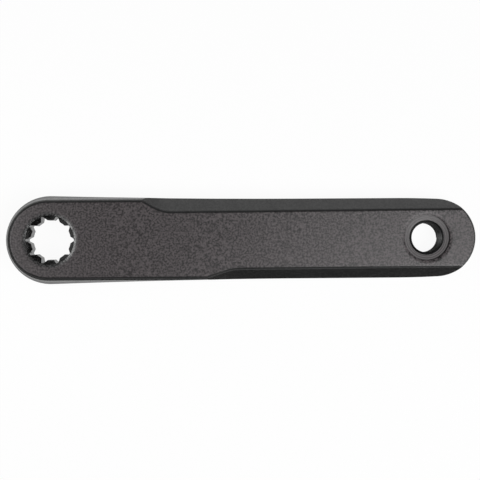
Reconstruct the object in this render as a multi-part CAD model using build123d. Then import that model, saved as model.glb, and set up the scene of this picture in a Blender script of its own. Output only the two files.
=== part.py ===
from build123d import *
import os
from math import asin, atan, atan2, copysign, cos, hypot, radians, sin, sqrt, tan

# A bicycle crank arm, forged and machined in one piece. All sizes are in millimetres.
# X runs along the arm from the spindle axis to the pedal axis and Z points out of the inner face.
# The origin is where the spindle axis meets the plane of the inner face.

# Arm
crank_length = 165.0  # spindle axis to pedal axis
boss_thickness = 19.0  # inner to outer face at the spindle
eye_thickness = 15.4  # inner to outer face at the pedal axis
boss_diameter = 38.6  # round end about the spindle
eye_width = 35.1  # straight part of the arm, up to the pedal eye
eye_reach = 21.3  # pedal axis to the tip
tip_narrowing = 0.4  # by how much the tip's radius falls short of half the eye's width
shoulder_radius = 400.0  # long curve from the straight sides into the tip
flare_reach = 109.0  # from the spindle axis to where the flared sides run straight
land_reach = 20.0  # from the spindle axis to the bend between level land and sloping face
land_bend_radius = 400.0  # bend from the level land into the sloping face
outer_rim_radius = 3.0  # edge about the outer face
tip_edge_radius = 0.7  # edge between side wall and inner side

# Rim about the inner face: a rounded edge, then a steep slant down to the side wall
rim_width = 35.0  # across the face, where its plane would meet the slants
rim_slant = 25.0  # between slant and side wall
rim_radius = 2.8  # between face and slant
rim_centre_x = -0.9  # middle of the rim's round end, from the spindle axis

# Long bevels along both edges of the inner face
upper_bevel_start = 40.4  # from the spindle axis to where the bevel on the +Y side turns in
lower_bevel_start = 68.0  # the same on the -Y side
face_width_middle = 24.8  # between the two crests, halfway along the arm
face_width_eye = 24.9  # between the two crests, at the pedal axis
face_shift_middle = -0.5  # of the middle between the crests along Y, halfway along the arm
face_shift_eye = -0.1  # the same at the pedal axis
bevel_angle = 33.0  # down from the face
bevel_turn_in_radius = 5.0  # in plan, where the slanted run of a bevel leaves the rim
upper_run_length = 4.6  # in plan, of the straight part of that run on the +Y side
lower_run_length = 8.0  # the same on the -Y side
upper_turn_out_radius = 15.0  # in plan, where the +Y bevel straightens along the arm
lower_turn_out_radius = 20.0  # the same on the -Y side
bevel_reach = 8.0  # how far a bevel is cut outwards from its crest
bevel_lead = 12.0  # straight lead of the cut outside the rim, before it turns in
crest_radius = 3.0  # rounded crest between face and bevel
crest_entry_angle = 6.0  # slope at which the rounded crest leaves the face
rim_clearance = 0.15  # between a bevel's lead and the rounded rim

# Splined socket for the spindle
spline_count = 10
spline_tip_diameter = 17.6  # across the tooth tips, at the inner face
spline_root_diameter = 21.1  # across the groove floors, at the inner face
spline_length = 9.0  # inner face to the seat of the bolt
groove_mouth_width = 2.9  # at the tooth tips
groove_floor_width = 0.9  # at the groove floor
groove_floor_radius = 0.3  # corners of the groove floor
tooth_corner_radius = 0.55  # corners of a tooth tip
spline_taper = 1.0  # per side, in degrees, closing towards the outer face
lead_in_margin = 0.2  # from the groove floors to the edge of the lead-in cone
lead_in_angle = 36.0  # between the lead-in cone and the spindle axis

# Recess for the spindle bolt and its cap, in the outer face
bolt_recess_diameter = 26.5
bolt_recess_corner = 0.8  # slanted corner between wall and seat
bolt_recess_chamfer = 0.8  # at the outer face

# Pedal eye
pedal_bore_diameter = 14.288  # nominal size of the pedal thread
pedal_bore_chamfer = 0.5
inner_recess_diameter = 20.0  # round recess about the bore, in the inner face
inner_recess_depth = 1.7  # below the inner face, on the pedal axis
outer_recess_diameter = 25.0  # shallow turned seat for the pedal's flange
outer_recess_depth = 0.5
seat_chamfer = 0.3

# Dished lips by which the inner face falls to the edge of the lead-in cone and of the pedal recess
lip_entry_angle = 3.0  # slope at which a lip leaves the face
cone_lip_width = 1.7  # lip about the lead-in cone
cone_lip_angle = 15.0  # its slope at the edge of the cone
recess_lip_width = 1.4  # lip about the pedal recess
recess_lip_angle = 20.0  # its slope at the edge of the recess

# How far a cut runs past the surface it opens, and how closely edges and faces are told apart
overcut = 2.0
shallow_overcut = 0.3  # the same for the shallow entry of a bevel or a lip
match_tolerance = 0.02

# Derived sizes
boss_radius = boss_diameter / 2
half_eye = eye_width / 2
tip_radius = half_eye - tip_narrowing
tip_x = crank_length + eye_reach
tip_centre_x = tip_x - tip_radius
face_fall = boss_thickness - eye_thickness
face_slope = atan2(face_fall, crank_length - land_reach)

# Each side is a long arc that touches the boss and ends level, a straight run, and a shoulder arc
# that touches the round tip
flare_radius = (flare_reach**2 + half_eye**2 - boss_radius**2) / (2 * (boss_radius - half_eye))
flare_centre_y = half_eye + flare_radius
flare_sweep = atan(flare_reach / flare_centre_y)
shoulder_run = sqrt(tip_narrowing * (2 * shoulder_radius - tip_radius - half_eye))
shoulder_x = tip_centre_x - shoulder_run
shoulder_sweep = asin(shoulder_run / (shoulder_radius - tip_radius))

# How steep the slant about the inner face is, and where the face turns into its rounded edge
slant_angle = radians(90 - rim_slant)
rim_start = rim_width / 2 - rim_radius * tan(slant_angle / 2)

# Where the lip about the lead-in cone gives way to the cone
cone_radius = spline_root_diameter / 2 + lead_in_margin
cone_lip_depth = cone_lip_width * tan(radians(lip_entry_angle + cone_lip_angle) / 2)

# The sloping part of the inner face, with its local X along the arm
face_plane = Plane(
    origin=(land_reach, 0, 0),
    x_dir=(cos(face_slope), 0, -sin(face_slope)),
    z_dir=(sin(face_slope), 0, cos(face_slope)),
)


def crest_offset(x, side):
    """Distance of a bevel's crest from the middle of the arm, at a distance x from the spindle."""
    middle = crank_length / 2
    share = (x - middle) / (crank_length - middle)
    width = face_width_middle + share * (face_width_eye - face_width_middle)
    shift = face_shift_middle + share * (face_shift_eye - face_shift_middle)
    return width / 2 + side * shift


def outline():
    """Plan of the arm: round boss, flared and straight sides, shoulders and round tip."""
    boss_end = (boss_radius * sin(flare_sweep), boss_radius * cos(flare_sweep))
    middle_rise = sqrt(flare_radius**2 - (flare_reach / 2) ** 2)
    flare_middle = (flare_reach / 2, flare_centre_y - copysign(middle_rise, flare_radius))
    flare_end = (flare_reach, half_eye)
    shoulder_start = (shoulder_x, half_eye)
    shoulder_middle = (
        shoulder_x + shoulder_radius * sin(shoulder_sweep / 2),
        half_eye + shoulder_radius * (cos(shoulder_sweep / 2) - 1),
    )
    tip_start = (
        tip_centre_x + tip_radius * sin(shoulder_sweep),
        tip_radius * cos(shoulder_sweep),
    )

    def below(point):
        return (point[0], -point[1])

    with BuildSketch() as plan:
        with BuildLine():
            ThreePointArc(below(boss_end), (-boss_radius, 0), boss_end)
            ThreePointArc(boss_end, flare_middle, flare_end)
            Line(flare_end, shoulder_start)
            ThreePointArc(shoulder_start, shoulder_middle, tip_start)
            ThreePointArc(tip_start, (tip_x, 0), below(tip_start))
            ThreePointArc(below(tip_start), below(shoulder_middle), below(shoulder_start))
            Line(below(shoulder_start), below(flare_end))
            ThreePointArc(below(flare_end), below(flare_middle), below(boss_end))
        make_face()
    return plan.sketch


def rim_half_section():
    """Half the section under the inner face, on the YZ plane: face, rounded edge, slant."""
    floor_z = -boss_thickness - overcut

    def on_edge(angle):
        return (rim_start + rim_radius * sin(angle), rim_radius * (cos(angle) - 1))

    slant_top = on_edge(slant_angle)
    slant_foot = (slant_top[0] + (slant_top[1] - floor_z) / tan(slant_angle), floor_z)
    with BuildSketch(Plane.YZ) as half:
        with BuildLine():
            Line((0, 0), (rim_start, 0))
            ThreePointArc((rim_start, 0), on_edge(slant_angle / 2), slant_top)
            Polyline(slant_top, slant_foot, (0, floor_z), (0, 0))
        make_face()
    return half.sketch


def inner_side():
    """Body under the inner face: round about the spindle, level land, bend and slope to the tip."""
    far_x = tip_x + overcut
    far_z = -(far_x - land_reach) * tan(face_slope)
    with BuildLine(Plane.XZ) as path:
        FilletPolyline((rim_centre_x, 0), (land_reach, 0), (far_x, far_z), radius=land_bend_radius)
    half = Pos(rim_centre_x, 0, 0) * rim_half_section()
    along_arm = sweep(half + mirror(half, about=Plane.XZ), path=path.wire())
    rim_axis = Axis((rim_centre_x, 0, 0), (0, 0, 1))
    return along_arm + revolve(half, rim_axis, revolution_arc=180)


def rounded_blank():
    """The arm before its bevels and holes are cut."""
    prism = Pos(0, 0, overcut) * extrude(outline(), -boss_thickness - overcut)
    blank = prism & inner_side()
    blank = fillet(blank.faces().sort_by(Axis.Z)[0].edges(), outer_rim_radius)
    wall = [f for f in blank.faces() if abs(f.normal_at().Z) < match_tolerance]
    wall_top = [max(f.edges(), key=lambda e: e.center().Z) for f in wall]
    return fillet(wall_top, tip_edge_radius)


def bevel_section(plane):
    """Section of a bevel cut: local X outwards from the crest, local Y up from the face."""
    entry = radians(crest_entry_angle)
    fall = radians(bevel_angle)
    centre_y = -crest_radius * cos(entry)
    centre_x = -(centre_y + crest_radius * cos(fall)) / tan(fall) - crest_radius * sin(fall)

    def on_crest(angle):
        return (centre_x + crest_radius * sin(angle), centre_y + crest_radius * cos(angle))

    crest_start = on_crest(entry)
    crest_end = on_crest(fall)
    air_x = crest_start[0] - shallow_overcut / tan(entry)
    with BuildSketch(plane) as section:
        with BuildLine():
            Line((air_x, shallow_overcut), crest_start)
            ThreePointArc(crest_start, on_crest((entry + fall) / 2), crest_end)
            Polyline(
                crest_end,
                (bevel_reach, -bevel_reach * tan(fall)),
                (bevel_reach, overcut),
                (air_x, overcut),
                (air_x, shallow_overcut),
            )
        make_face()
    return section.sketch


def rim_offset():
    """Distance from the middle of the arm at which a bevel just clears the rounded rim."""
    return rim_start + rim_radius * tan(radians(bevel_angle) / 2) + rim_clearance


def bevel_cut(side, start, run_length, turn_out_radius):
    """Cut for one long bevel: it leaves the rim on a slant and then follows the arm to its tip."""
    inward = rim_offset() - crest_offset(start, side)
    turns = bevel_turn_in_radius + turn_out_radius
    run_angle = atan2(turns, run_length) + asin((inward - turns) / hypot(turns, run_length))
    run = inward / tan(run_angle)
    far = tip_x + bevel_reach

    def on_face(x, offset):
        return ((x - land_reach) / cos(face_slope), side * offset)

    with BuildLine(face_plane) as path:
        FilletPolyline(
            on_face(start - bevel_lead, rim_offset()),
            on_face(start, rim_offset()),
            on_face(start + run, crest_offset(start + run, side)),
            on_face(far, crest_offset(far, side)),
            radius=(bevel_turn_in_radius, turn_out_radius),
        )
    path_wire = path.wire()
    section_plane = Plane(
        origin=path_wire @ 0,
        x_dir=face_plane.y_dir * side,
        z_dir=face_plane.x_dir * side,
    )
    return sweep(bevel_section(section_plane), path=path_wire)


def turned_cut(x, points):
    """Round cut about an upright axis at x, from the half section given as radius and height."""
    with BuildSketch(Plane.XZ) as half:
        with BuildLine():
            Polyline(*points, close=True)
        make_face()
    return Pos(x, 0, 0) * revolve(half.sketch, Axis.Z)


def lip_cut(radius, width, edge_angle):
    """Dish about a hole of the given radius, for a face in the XY plane: it leaves a rounded lip."""
    entry = radians(lip_entry_angle)
    edge = radians(edge_angle)
    curve = width / (sin(edge) - sin(entry))

    def on_lip(angle):
        return (radius + curve * (sin(edge) - sin(angle)), curve * (cos(angle) - cos(entry)))

    hole_edge = on_lip(edge)
    air_x = radius + width + shallow_overcut / tan(entry)
    with BuildSketch(Plane.XZ) as half:
        with BuildLine():
            ThreePointArc(hole_edge, on_lip((entry + edge) / 2), on_lip(entry))
            Polyline(
                on_lip(entry),
                (air_x, shallow_overcut),
                (0, shallow_overcut),
                (0, hole_edge[1]),
                hole_edge,
            )
        make_face()
    return revolve(half.sketch, Axis.Z)


def spline_outline():
    """Section of the splined socket at the inner face: a round hole with narrow grooves."""
    tooth_radius = spline_tip_diameter / 2
    root_radius = spline_root_diameter / 2
    mouth_x = sqrt(tooth_radius**2 - (groove_mouth_width / 2) ** 2)
    with BuildSketch() as groove:
        Polygon(
            (0, -groove_mouth_width / 2),
            (mouth_x, -groove_mouth_width / 2),
            (root_radius, -groove_floor_width / 2),
            (root_radius, groove_floor_width / 2),
            (mouth_x, groove_mouth_width / 2),
            (0, groove_mouth_width / 2),
            align=None,
        )
        fillet(groove.vertices().group_by(Axis.X)[-1], groove_floor_radius)
    with BuildSketch() as socket:
        Circle(tooth_radius)
        with PolarLocations(0, spline_count):
            add(groove.sketch)
        corners = [
            v
            for v in socket.vertices()
            if abs(Vector(v.X, v.Y).length - tooth_radius) < match_tolerance
        ]
        fillet(corners, tooth_corner_radius)
    return socket.sketch


def splined_socket_cut():
    """Tapered grooves and tooth tips, from above the inner face to within the bolt recess."""
    section = spline_outline()

    def section_at(z):
        growth = 1 + z * tan(radians(spline_taper)) / (spline_tip_diameter / 2)
        return (Pos(0, 0, z) * scale(section, by=growth)).face()

    return loft([section_at(overcut), section_at(-spline_length - overcut)], ruled=True)


def with_spindle_socket(arm):
    """Adds the bolt recess in the outer face, the lead-in lip and cone and the splines."""
    cone_top = cone_radius + (cone_lip_depth + overcut) * tan(radians(lead_in_angle))
    cone_depth = cone_lip_depth + cone_radius / tan(radians(lead_in_angle))
    outer_z = -boss_thickness
    recess_radius = bolt_recess_diameter / 2
    mouth_radius = recess_radius + bolt_recess_chamfer
    recess = turned_cut(
        0,
        [
            (0, -spline_length),
            (recess_radius - bolt_recess_corner, -spline_length),
            (recess_radius, -spline_length - bolt_recess_corner),
            (recess_radius, outer_z + bolt_recess_chamfer),
            (mouth_radius + overcut, outer_z - overcut),
            (0, outer_z - overcut),
        ],
    )
    arm = arm - recess
    cone = turned_cut(0, [(0, -cone_depth), (cone_top, overcut), (0, overcut)])
    return arm - lip_cut(cone_radius, cone_lip_width, cone_lip_angle) - cone - splined_socket_cut()


def with_pedal_eye(arm):
    """Adds the pedal bore, the round recess on the inner face and the seat on the outer face."""
    outer_z = -boss_thickness
    floor_z = outer_z + eye_thickness - inner_recess_depth
    seat_z = outer_z + outer_recess_depth
    bore_radius = pedal_bore_diameter / 2
    chamfer_radius = bore_radius + pedal_bore_chamfer
    inner_radius = inner_recess_diameter / 2
    seat_radius = outer_recess_diameter / 2
    top_z = overcut
    arm = arm - turned_cut(
        crank_length,
        [(0, floor_z), (inner_radius, floor_z), (inner_radius, top_z), (0, top_z)],
    )
    on_slope = (crank_length - land_reach) / cos(face_slope)
    lip = lip_cut(inner_radius - match_tolerance, recess_lip_width, recess_lip_angle)
    arm = arm - face_plane.location * Pos(on_slope, 0, 0) * lip
    return arm - turned_cut(
        crank_length,
        [
            (0, top_z),
            (chamfer_radius, top_z),
            (chamfer_radius, floor_z),
            (bore_radius, floor_z - pedal_bore_chamfer),
            (bore_radius, seat_z + pedal_bore_chamfer),
            (chamfer_radius, seat_z),
            (seat_radius, seat_z),
            (seat_radius, outer_z + seat_chamfer),
            (seat_radius + seat_chamfer, outer_z),
            (seat_radius + seat_chamfer, outer_z - overcut),
            (0, outer_z - overcut),
        ],
    )


crank_arm = rounded_blank()
crank_arm = crank_arm - bevel_cut(1, upper_bevel_start, upper_run_length, upper_turn_out_radius)
crank_arm = crank_arm - bevel_cut(-1, lower_bevel_start, lower_run_length, lower_turn_out_radius)
crank_arm = with_spindle_socket(crank_arm)
crank_arm = with_pedal_eye(crank_arm)

os.makedirs("parts", exist_ok=True)
export_step(crank_arm, "parts/crank_arm.step")
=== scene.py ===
from math import pi, radians, tan

import bmesh
import bpy
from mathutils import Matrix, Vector


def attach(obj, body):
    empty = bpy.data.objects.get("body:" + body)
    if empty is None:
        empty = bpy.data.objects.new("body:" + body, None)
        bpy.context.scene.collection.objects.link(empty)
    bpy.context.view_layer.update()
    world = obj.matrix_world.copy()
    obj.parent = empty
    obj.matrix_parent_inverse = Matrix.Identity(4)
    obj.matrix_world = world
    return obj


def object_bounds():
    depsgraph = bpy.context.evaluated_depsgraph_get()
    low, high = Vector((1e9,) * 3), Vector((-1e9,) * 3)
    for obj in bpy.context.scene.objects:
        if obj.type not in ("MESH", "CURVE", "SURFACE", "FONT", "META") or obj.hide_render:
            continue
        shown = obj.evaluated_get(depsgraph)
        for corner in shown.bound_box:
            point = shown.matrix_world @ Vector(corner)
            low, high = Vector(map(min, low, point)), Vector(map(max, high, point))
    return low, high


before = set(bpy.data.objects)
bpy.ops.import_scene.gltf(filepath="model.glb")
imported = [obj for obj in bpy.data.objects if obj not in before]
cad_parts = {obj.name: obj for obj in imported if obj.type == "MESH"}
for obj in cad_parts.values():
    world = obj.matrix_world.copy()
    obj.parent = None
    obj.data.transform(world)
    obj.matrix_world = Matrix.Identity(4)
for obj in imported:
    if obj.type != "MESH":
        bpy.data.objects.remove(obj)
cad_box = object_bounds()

MM = 0.001

# Places on the arm, in millimetres, in the frame of the solids
PEDAL_X = 165.0
PEDAL_BORE_RADIUS = 7.144
INNER_RECESS_RADIUS = 10.0
OUTER_SEAT_RADIUS = 12.5
SOCKET_RADIUS = 10.75
BOLT_RECESS_RADIUS = 13.25
BOLT_SEAT_Z = -9.0
MID_HEIGHT = -10.0

# Pedal thread, standing on the wall of the bore, in millimetres and degrees
THREAD_PITCH = 1.27
THREAD_ROOT_RADIUS = 7.2
THREAD_CREST_RADIUS = 6.47
THREAD_CREST_WIDTH = 0.3
THREAD_FLANK_ANGLE = 30.0
THREAD_TOP = -5.75
THREAD_BOTTOM = -18.05
THREAD_RUN_OUT = 0.7
STEPS_PER_TURN = 72

# Radii between which the finish of each lip gives way to that of the face, in millimetres
RECESS_LIP_END = (11.5, 12.0)
SOCKET_LIP_END = (12.6, 13.2)
SOCKET_LIP_FADE = (11.0, 12.7)

# Widths of the soft borders of the other finishes, across the arm and through it, in millimetres
BORDER = 0.1
BORDER_THROUGH = 0.5

# Cosines of a surface's tilt from the face, between which one finish gives way to another
FLAT_COSINES = (0.908, 0.938)
EDGE_MARGIN = 0.06
# Between FLAT_COSINES and STEEP_COSINES lies a band of painted shade along the edges: a dark grey on
# their gently tilted rounds
STEEP_COSINES = (0.838, 0.935)
UPRIGHT_COSINES = (0.2, 0.4)

# Base colours of the finishes, as levels of grey, with painted shade on the gently tilted edges and
# in the pedal bore
BLASTED_GREY = 0.036
BLASTED_RED = 1.16
BLASTED_BLUE = 1.04
# Painted shade: a dark grey on the gently tilted rounds of the edges, between the blasted face and
# the steep walls
PAINTED_EDGE_SHADE_GREY = 0.036
WALL_GREY = 0.28
# Painted shade: the pedal bore is coloured darker than the arm's other walls
PAINTED_BORE_SHADE_GREY = 0.06
CONE_GREY = 0.18
TOOTH_GREY = 0.5
LIP_GREY = 0.052

# How rough and how metallic each finish is
SATIN_ROUGHNESS = 0.2
BLASTED_ROUGHNESS = 0.42
TURNED_ROUGHNESS = 0.36
BORE_ROUGHNESS = 0.4
LIP_ROUGHNESS = 0.25
SPECK_ROUGHNESS = 0.06
EDGE_METAL = 0.5
LIP_METAL = 0.65
FILM_IOR = 1.65
FILM_TINT = 0.4

# Specks of the blasted face, stronger towards the pedal, broad patches and turned rings
GRAIN_PER_MM = 1.2
PATCHES_PER_MM = 0.16
NOISE_DETAIL = 2.0
GRAIN_RANGE = (0.3, 0.7)
RING_SPACING = 0.9
SPECK_ON_METAL = 0.2
SPECK_ON_BLASTED = 1.1
SPECK_GROWTH = 0.7
SPECK_GROWS_FROM = 20.0
PATCH_CONTRAST = 0.2
RING_CONTRAST = 0.3
DARKEST_TONE = 0.05

# Relief of the grain and the rings and the slight dish of the pedal's seats, depth in millimetres
GRAIN_ON_METAL = 0.05
RING_HEIGHT = 0.5
DISH_SLOPE = 3.0
RELIEF_STRENGTH = 0.5
RELIEF_DEPTH = 0.05

# Table top: half its side in metres, its gap below the arm in millimetres
FLOOR_HALF_SIDE = 12.0
FLOOR_GAP = 0.05
FLOOR_GREY = 0.8
FLOOR_WHITE = 0.94

# Brightness of the room, and the directions between which its wall and its right side fade
ROOM_LEVEL = 0.055
WALL_LEVEL = 0.5
WALL_X = (0.3, 0.7)
WALL_Y = (0.1, 0.7)
WALL_Z = (-0.1, 0.68)
RIGHT_LEVEL = 0.1
RIGHT_X = (0.2, 0.8)
RIGHT_Y = (-0.1, 0.4)
RIGHT_Z = (0.2, 0.9)

# Camera: its place and near limit in millimetres, its turn in degrees
CAMERA_PLACE = (82.84, -0.51, 420.0)
CAMERA_TURN = -0.393
CAMERA_LENS = 72.51
CAMERA_SENSOR = 36.0
CAMERA_CLIP = 10.0


class Value:
    """A shader socket that can stand in Python arithmetic."""

    def __init__(self, shader, socket):
        self.shader = shader
        self.socket = socket

    def maths(self, operation, *others):
        return self.shader.maths(operation, self, *others)

    def output(self, name):
        """Another output of the same node."""
        return Value(self.shader, self.socket.node.outputs[name])

    def __add__(self, other):
        return self.maths("ADD", other)

    __radd__ = __add__

    def __sub__(self, other):
        return self.maths("SUBTRACT", other)

    def __rsub__(self, other):
        return self.shader.maths("SUBTRACT", other, self)

    def __mul__(self, other):
        return self.maths("MULTIPLY", other)

    __rmul__ = __mul__

    def __abs__(self):
        return self.maths("ABSOLUTE")


class Shader:
    """The node tree of one finish, of the floor or of the world."""

    def __init__(self, tree):
        self.tree = tree
        tree.nodes.clear()

    def node(self, kind, settings=None, sockets=None, output=0):
        """Adds a node, sets it up, then fills or links its sockets, and gives one of its outputs."""
        made = self.tree.nodes.new(kind)
        for name, value in (settings or {}).items():
            setattr(made, name, value)
        for name, value in (sockets or {}).items():
            if isinstance(value, Value):
                self.tree.links.new(value.socket, made.inputs[name])
            else:
                made.inputs[name].default_value = value
        return Value(self, made.outputs[output]) if made.outputs else None

    def maths(self, operation, *terms):
        return self.node("ShaderNodeMath", {"operation": operation}, dict(enumerate(terms)))

    def split(self, vector):
        """The three parts of a vector."""
        x = self.node("ShaderNodeSeparateXYZ", None, {0: vector})
        return x, x.output("Y"), x.output("Z")

    def step(self, value, low, high):
        """Rises smoothly from 0 at low to 1 at high."""
        return self.node(
            "ShaderNodeMapRange",
            {"interpolation_type": "SMOOTHSTEP"},
            {"Value": value, "From Min": low, "From Max": high},
        )

    def blend(self, share, first, second, blend_type="MIX"):
        """A colour that goes from first to second as share goes from 0 to 1."""
        settings = {"data_type": "RGBA", "blend_type": blend_type}
        return self.node("ShaderNodeMix", settings, {0: share, 6: first, 7: second}, output=2)

    def grey(self, level):
        return self.node("ShaderNodeCombineColor", None, {0: level, 1: level, 2: level})

    def noise(self, place, per_mm):
        sockets = {"Vector": place, "Scale": per_mm, "Detail": NOISE_DETAIL}
        return self.node("ShaderNodeTexNoise", None, sockets)


def tint(level, red=1.0, blue=1.0):
    """A level of grey, with its red and blue shifted."""
    return (level * red, level, level * blue, 1.0)


def anodised_finish(name):
    """Black anodised aluminium: blasted flats, satin walls, turned seats; the gently tilted edges
    and the pedal bore carry painted shade.
    """
    material = bpy.data.materials.new(name)
    material.use_nodes = True
    s = Shader(material.node_tree)
    place = s.node("ShaderNodeTexCoord", output="Object")
    mm = s.node("ShaderNodeVectorMath", {"operation": "SCALE"}, {0: place, "Scale": 1 / MM})
    x, y, z = s.split(mm)
    facing = abs(s.split(place.output("Normal"))[2])

    # Where each finish is
    pedal_x = x - PEDAL_X
    pedal_radius = (pedal_x * pedal_x + y * y).maths("SQRT")
    spindle_radius = (x * x + y * y).maths("SQRT")
    off_lips = s.step(pedal_radius, *RECESS_LIP_END) * s.step(spindle_radius, *SOCKET_LIP_END)
    flat = s.step(facing - EDGE_MARGIN * off_lips, *FLAT_COSINES)
    steep = 1 - s.step(facing, *STEEP_COSINES)
    upright = 1 - s.step(facing, *UPRIGHT_COSINES)
    inner_side = s.step(z, MID_HEIGHT - BORDER_THROUGH, MID_HEIGHT + BORDER_THROUGH)
    seat_radius = OUTER_SEAT_RADIUS + inner_side * (INNER_RECESS_RADIUS - OUTER_SEAT_RADIUS)
    pedal_seat = 1 - s.step(pedal_radius - seat_radius, -BORDER, BORDER)
    sunk = 1 - s.step(z, BOLT_SEAT_Z, BOLT_SEAT_Z + 2 * BORDER_THROUGH)
    bolt_seat = 1 - s.step(spindle_radius, BOLT_RECESS_RADIUS, BOLT_RECESS_RADIUS + BORDER)
    turned = flat * pedal_seat.maths("MAXIMUM", sunk * bolt_seat)
    blasted = flat - turned
    lip = flat * (1 - s.step(spindle_radius, *SOCKET_LIP_FADE))
    in_socket = 1 - s.step(spindle_radius, SOCKET_RADIUS, SOCKET_RADIUS + BORDER)
    in_bore = 1 - s.step(pedal_radius, PEDAL_BORE_RADIUS + BORDER, PEDAL_BORE_RADIUS + 4 * BORDER)

    # Patterns
    grain = s.noise(mm, GRAIN_PER_MM)
    patches = s.noise(mm, PATCHES_PER_MM) - 0.5
    rings = (pedal_radius * (2 * pi / RING_SPACING)).maths("SINE") * turned
    speck = s.step(grain, *GRAIN_RANGE) - 0.5
    dish = (pedal_radius.maths("MINIMUM", seat_radius) - seat_radius) * flat

    # Colour
    to_pedal = s.step(x, SPECK_GROWS_FROM, PEDAL_X)
    contrast = SPECK_ON_METAL + (SPECK_ON_BLASTED + SPECK_GROWTH * to_pedal) * blasted
    tone = 1 + contrast * speck + PATCH_CONTRAST * patches + RING_CONTRAST * rings
    tone = tone.maths("MAXIMUM", DARKEST_TONE)
    socket_colour = s.blend(upright, tint(CONE_GREY), tint(TOOTH_GREY))
    face_colour = s.blend(lip, tint(BLASTED_GREY, BLASTED_RED, BLASTED_BLUE), tint(LIP_GREY))
    # Painted shade: the gently tilted edges get the dark edge grey, and the steep walls keep the
    # satin's own grey
    colour = s.blend(steep, tint(PAINTED_EDGE_SHADE_GREY), tint(WALL_GREY))
    # Painted shade in the pedal bore, darker than the walls around it
    colour = s.blend(in_bore, colour, tint(PAINTED_BORE_SHADE_GREY))
    colour = s.blend(in_socket, colour, socket_colour)
    colour = s.blend(flat, colour, face_colour)
    colour = s.blend(1.0, colour, s.grey(tone), "MULTIPLY")

    # Gloss and relief
    rough = SATIN_ROUGHNESS + SPECK_ROUGHNESS * speck
    rough = rough + (BLASTED_ROUGHNESS - SATIN_ROUGHNESS) * blasted
    rough = rough + (TURNED_ROUGHNESS - SATIN_ROUGHNESS) * turned
    rough = rough + (BORE_ROUGHNESS - SATIN_ROUGHNESS) * in_bore
    rough = rough + (LIP_ROUGHNESS - BLASTED_ROUGHNESS) * lip
    metal = (1 - flat) * (EDGE_METAL + (1 - EDGE_METAL) * steep) + LIP_METAL * lip
    relief = grain * (GRAIN_ON_METAL + (1 - GRAIN_ON_METAL) * blasted)
    relief = relief + RING_HEIGHT * rings + DISH_SLOPE * dish
    heights = {"Strength": RELIEF_STRENGTH, "Distance": RELIEF_DEPTH * MM, "Height": relief}
    surface = {
        "Base Color": colour,
        "Metallic": metal,
        "Roughness": rough,
        "IOR": FILM_IOR,
        "Specular Tint": tint(FILM_TINT),
        "Normal": s.node("ShaderNodeBump", None, heights),
    }
    shader = s.node("ShaderNodeBsdfPrincipled", None, surface)
    s.node("ShaderNodeOutputMaterial", None, {"Surface": shader})
    return material


def new_object(name, bm, finish):
    """Turns a finished bmesh into an object of the scene."""
    mesh = bpy.data.meshes.new(name)
    bm.to_mesh(mesh)
    bm.free()
    mesh.materials.append(finish)
    made = bpy.data.objects.new(name, mesh)
    bpy.context.scene.collection.objects.link(made)
    return made


def pedal_thread(finish):
    """The helical ridge of the pedal thread, fading into the bore at both ends."""
    depth = THREAD_ROOT_RADIUS - THREAD_CREST_RADIUS
    half_crest = THREAD_CREST_WIDTH / 2
    half_root = half_crest + depth * tan(radians(THREAD_FLANK_ANGLE))
    start = THREAD_BOTTOM + half_root
    turns = (THREAD_TOP - THREAD_BOTTOM - 2 * half_root) / THREAD_PITCH
    steps = round(turns * STEPS_PER_TURN)
    section = [
        (THREAD_ROOT_RADIUS, -half_root),
        (THREAD_CREST_RADIUS, -half_crest),
        (THREAD_CREST_RADIUS, half_crest),
        (THREAD_ROOT_RADIUS, half_root),
    ]
    bm = bmesh.new()
    corners = [bm.verts.new((radius, 0, start + height)) for radius, height in section]
    sides = [bm.edges.new((corners[i - 1], corners[i])) for i in range(len(corners))]
    bmesh.ops.spin(
        bm,
        geom=corners + sides,
        axis=(0, 0, 1),
        dvec=(0, 0, THREAD_PITCH * turns / steps),
        angle=2 * pi * turns,
        steps=steps,
    )
    bmesh.ops.holes_fill(bm, edges=[e for e in bm.edges if e.is_boundary], sides=len(section))
    bmesh.ops.recalc_face_normals(bm, faces=bm.faces)
    for vert in bm.verts:
        to_end = min(THREAD_TOP - vert.co.z, vert.co.z - THREAD_BOTTOM)
        share = min(1.0, max(0.0, to_end / THREAD_RUN_OUT))
        radius = vert.co.xy.length
        wanted = THREAD_ROOT_RADIUS - (THREAD_ROOT_RADIUS - radius) * share
        vert.co.xy *= wanted / radius
    bmesh.ops.translate(bm, verts=bm.verts, vec=(PEDAL_X, 0, 0))
    bmesh.ops.scale(bm, verts=bm.verts, vec=(MM, MM, MM))
    thread = new_object("pedal_thread", bm, finish)
    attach(thread, "root")


def white_floor(height):
    """White table top that keeps a faint shadow and shows white in the metal."""
    material = bpy.data.materials.new("white_floor")
    material.use_nodes = True
    s = Shader(material.node_tree)
    camera_ray = s.node("ShaderNodeLightPath", output="Is Camera Ray")
    seen = camera_ray.maths("MAXIMUM", camera_ray.output("Is Glossy Ray"))
    seen = seen.maths("MAXIMUM", camera_ray.output("Is Transmission Ray"))
    pale = s.node("ShaderNodeBsdfDiffuse", None, {"Color": tint(FLOOR_GREY)})
    white = s.node("ShaderNodeEmission", None, {"Color": tint(1.0), "Strength": 1.0})
    surface = s.node("ShaderNodeMixShader", None, {0: seen * FLOOR_WHITE, 1: pale, 2: white})
    s.node("ShaderNodeOutputMaterial", None, {"Surface": surface})
    bm = bmesh.new()
    bmesh.ops.create_grid(bm, x_segments=1, y_segments=1, size=FLOOR_HALF_SIDE)
    bmesh.ops.translate(bm, verts=bm.verts, vec=(0, 0, height))
    floor = new_object("floor", bm, material)


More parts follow.
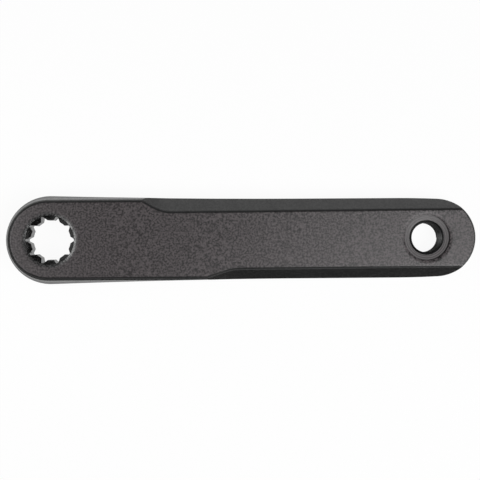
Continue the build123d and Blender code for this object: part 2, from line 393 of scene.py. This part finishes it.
def studio_world():
    """Dim room with a pale wall on the +Y side that fades upwards, and a faint right side."""
    world = bpy.data.worlds.new("studio")
    world.use_nodes = True
    bpy.context.scene.world = world
    s = Shader(world.node_tree)
    x, y, z = s.split(s.node("ShaderNodeTexCoord", output="Generated"))
    wall = s.step(y, *WALL_Y) * (1 - s.step(z, *WALL_Z)) * (1 - s.step(x, *WALL_X))
    right = s.step(x, *RIGHT_X) * (1 - s.step(z, *RIGHT_Z)) * (1 - s.step(y, *RIGHT_Y))
    level = ROOM_LEVEL + WALL_LEVEL * wall + RIGHT_LEVEL * right
    shader = s.node("ShaderNodeBackground", None, {"Color": s.grey(level), "Strength": 1.0})
    s.node("ShaderNodeOutputWorld", None, {"Surface": shader})


def softbox(name, place, aim, size, radiance):
    """Soft lamp of a given size in metres and brightness, out of the camera's sight."""
    light = bpy.data.lights.new(name, "AREA")
    light.shape = "RECTANGLE"
    light.size, light.size_y = size
    light.energy = radiance * pi * size[0] * size[1]
    lamp = bpy.data.objects.new(name, light)
    lamp.location = place
    lamp.rotation_euler = (Vector(aim) - Vector(place)).to_track_quat("-Z", "Y").to_euler()
    lamp.visible_camera = False
    bpy.context.scene.collection.objects.link(lamp)


def camera():
    """Square on to the inner face."""
    lens = bpy.data.cameras.new("camera")
    lens.sensor_width = CAMERA_SENSOR
    lens.lens = CAMERA_LENS
    lens.clip_start = CAMERA_CLIP * MM
    eye = bpy.data.objects.new("camera", lens)
    eye.location = Vector(CAMERA_PLACE) * MM
    eye.rotation_euler = (0, 0, radians(CAMERA_TURN))
    bpy.context.scene.collection.objects.link(eye)
    bpy.context.scene.camera = eye


finish = anodised_finish("black_anodised_arm")
for material_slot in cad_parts["crank_arm"].material_slots:
    material_slot.material = finish
pedal_thread(finish)

white_floor(cad_box[0][2] - FLOOR_GAP * MM)
studio_world()
softbox("right_box", place=(0.38, -0.16, 0.62), aim=(0.15, 0, 0), size=(0.35, 0.45), radiance=10.0)
softbox("left_box", place=(-0.118, 0.0, 0.20), aim=(0, 0, 0), size=(0.15, 0.07), radiance=7.6)
camera()

bpy.context.scene.view_settings.view_transform = "Standard"
